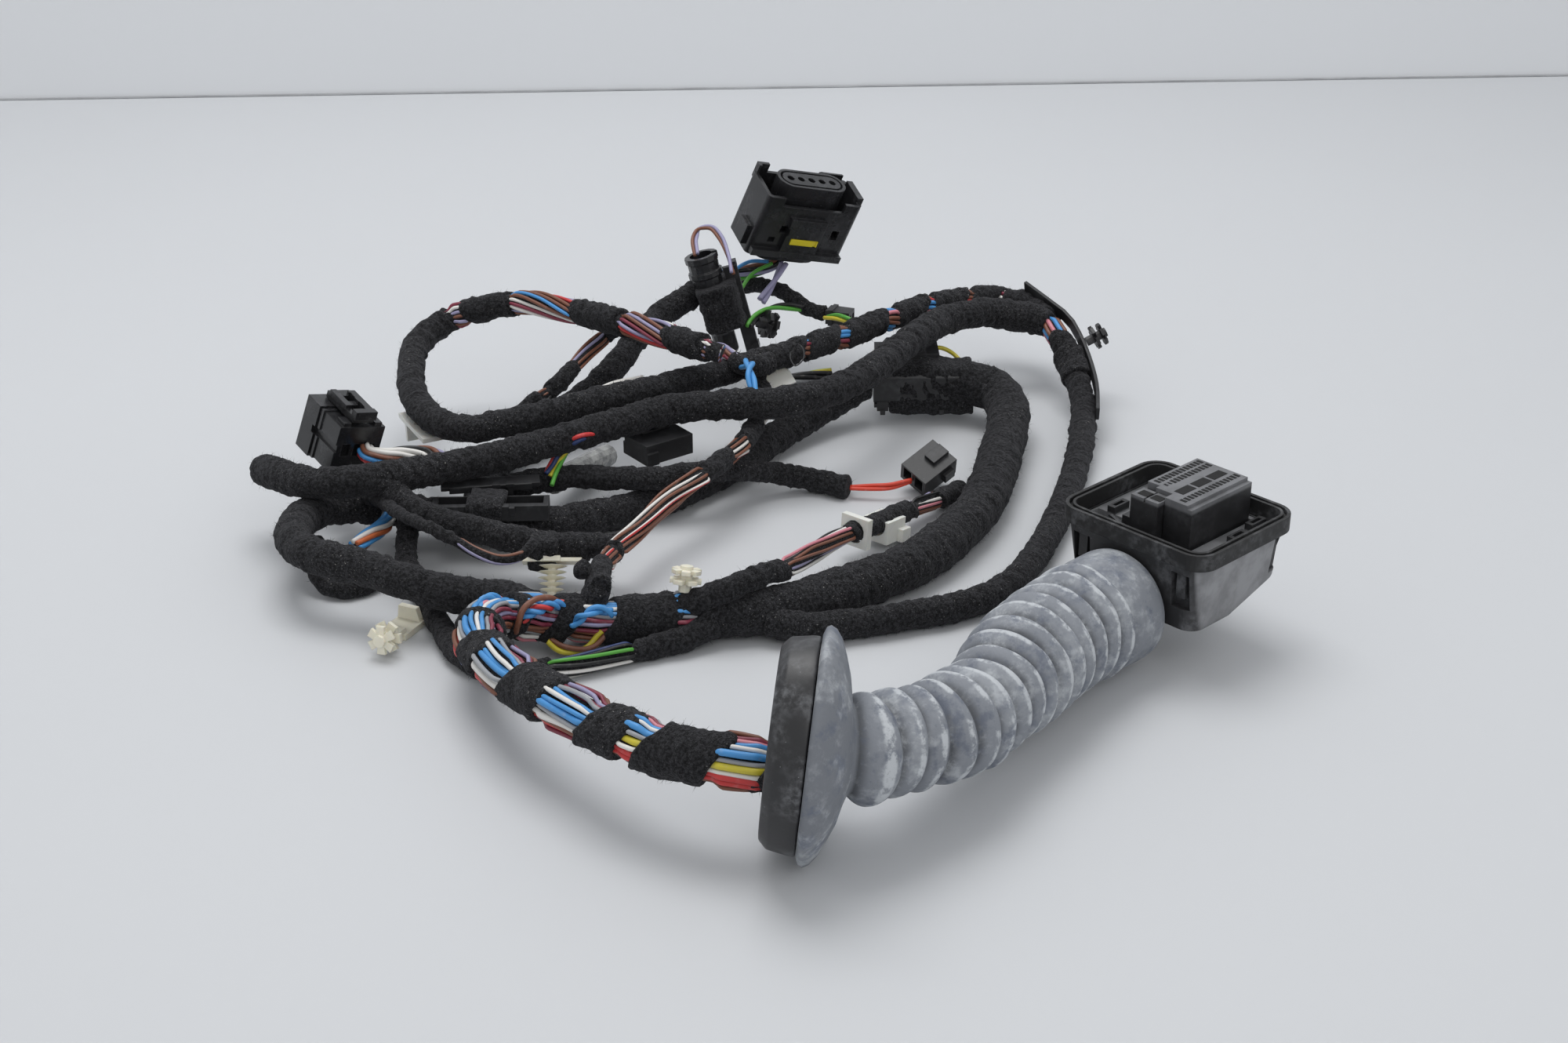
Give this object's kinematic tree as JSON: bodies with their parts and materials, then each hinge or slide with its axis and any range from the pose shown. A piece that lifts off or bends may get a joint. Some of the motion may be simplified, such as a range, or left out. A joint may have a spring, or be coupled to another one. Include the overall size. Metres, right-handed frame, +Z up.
{
  "type": "car door wiring harness",
  "caption": "Car door wiring harness: pleated rubber door boot with a rectangular many-way plug, a thick cloth-taped trunk, looped branches with bare wires, clips and small connectors.",
  "frame": {"origin": "middle of the base of the whole laid-out harness, on the surface that it lies on", "axes": "+Z up from the surface; +Y from the boot's flange towards the motor connector at the back; +X towards the many-way plug"},
  "size_m": [0.364, 0.4227, 0.094],
  "materials": {
    "cloth_tape": "matte",
    "grey_rubber": "dusty matte",
    "black_rubber": "matte",
    "black_plastic": "satin",
    "dark_grey_plastic": "satin",
    "yellow_plastic": "satin",
    "cream_plastic": "satin",
    "white_plastic": "satin",
    "clear_sleeve": "gloss"
  },
  "bodies": {
    "root": {"trunk_cable": "cloth_tape", "channel_cable": "cloth_tape", "long_cable": "cloth_tape", "upper_loop": "cloth_tape", "right_cable": "cloth_tape", "motor_lead": "cloth_tape", "motor_wires": "cloth_tape", "thin_diagonal": "cloth_tape", "switch_lead": "cloth_tape", "middle_lead": "cloth_tape", "two_way_wires": "cloth_tape", "diagonal_lead": "cloth_tape", "lower_lead": "cloth_tape", "clip_lead": "cloth_tape", "floor_lead": "cloth_tape", "small_loop": "cloth_tape", "blue_lead": "cloth_tape", "violet_lead": "cloth_tape", "rear_lead": "cloth_tape", "rear_short_lead": "cloth_tape", "lamp_wires": "cloth_tape", "boot_bellows": "grey_rubber", "boot_flange_insert": "black_plastic", "boot_wires": "cloth_tape", "plug_housing": "dark_grey_plastic", "plug_rim_seal": "black_rubber", "pin_block_large": "dark_grey_plastic", "pin_block_small": "dark_grey_plastic", "plug_inner_frame": "black_plastic", "plug_lever": "dark_grey_plastic", "motor_plug_shell": "black_plastic", "motor_plug_core": "dark_grey_plastic", "motor_plug_lock": "yellow_plastic", "motor_plug_boot": "black_rubber", "switch_plug_housing": "black_plastic", "switch_plug_slider": "dark_grey_plastic", "switch_plug_cap": "black_rubber", "lamp_holder_body": "black_plastic", "lamp_holder_bracket": "black_plastic", "two_way_plug": "black_plastic", "flat_plug": "black_plastic", "rear_plug_grey": "dark_grey_plastic", "rear_plug_black": "black_plastic", "rear_channel": "black_plastic", "channel_clip_lower": "black_plastic", "channel_clip_upper": "black_plastic", "right_clip_strip": "black_plastic", "strip_rosette": "black_plastic", "back_rosette": "black_plastic", "cream_clip_plate": "cream_plastic", "cream_clip_rosette": "cream_plastic", "middle_rosette": "cream_plastic", "fir_tree_clip": "white_plastic", "fir_tree_strap": "white_plastic", "white_clip_frame": "white_plastic", "white_clip_cradle": "white_plastic", "left_tag": "cream_plastic", "flag_tag": "white_plastic", "grey_sleeve": "clear_sleeve"}
  },
  "joints": []
}
